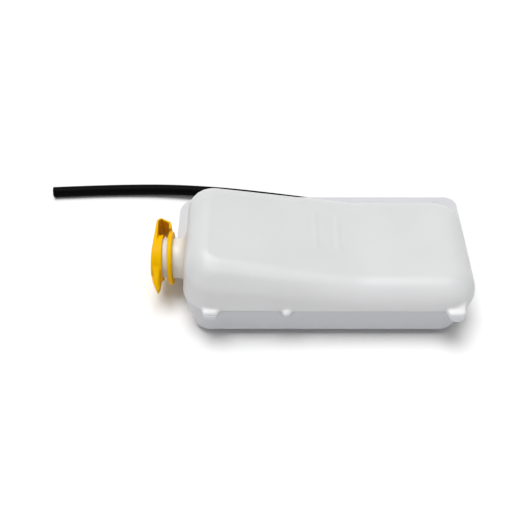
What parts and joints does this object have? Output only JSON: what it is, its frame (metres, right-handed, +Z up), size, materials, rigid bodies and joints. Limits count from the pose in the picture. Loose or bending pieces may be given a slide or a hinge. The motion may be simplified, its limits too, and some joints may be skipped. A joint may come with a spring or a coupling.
{
  "type": "coolant reservoir",
  "caption": "Translucent plastic coolant expansion tank lying on its back, with a tethered flip cap on the filler neck, a bolt flange and a rubber overflow hose.",
  "frame": {"origin": "on the resting plane, under the middle of the tank with its cap and flange", "axes": "+X along the tank away from the filler neck, +Y towards the flange, +Z up"},
  "size_m": [0.4539, 0.2255, 0.0903],
  "materials": {
    "tank_plastic": "natural translucent moulded polyethylene, satin",
    "cap_plastic": "yellow moulded polypropylene, semi-gloss",
    "seal_rubber": "black moulded rubber",
    "hose_rubber": "black extruded rubber, slight sheen",
    "fitting_plastic": "black glass-filled nylon",
    "zinc_steel": "zinc-plated steel"
  },
  "bodies": {
    "tank": {"front_half": "tank_plastic", "rear_half": "tank_plastic", "sleeve_left": "zinc_steel", "sleeve_right": "zinc_steel", "filler_neck": "tank_plastic", "hose_elbow": "fitting_plastic", "elbow_grommet": "seal_rubber", "hose_clamp": "zinc_steel", "overflow_hose": "hose_rubber"},
    "collar": {"cap_collar": "cap_plastic", "film_hinge": "cap_plastic"},
    "lid": {"cap_lid": "cap_plastic", "lid_seal": "seal_rubber"}
  },
  "joints": [
    {"name": "collar_swivel", "type": "hinge", "parent": "tank", "child": "collar", "pos_m": [-0.14245, -0.00525, 0.041], "axis": [-1, 0, 0], "continuous": true},
    {"name": "lid_flip", "type": "hinge", "parent": "collar", "child": "lid", "pos_m": [-0.15305, 0.02997, 0.04978], "axis": [0, 0.2419, -0.9703], "range_deg": [0, 140], "deforming": ["film_hinge"]}
  ]
}
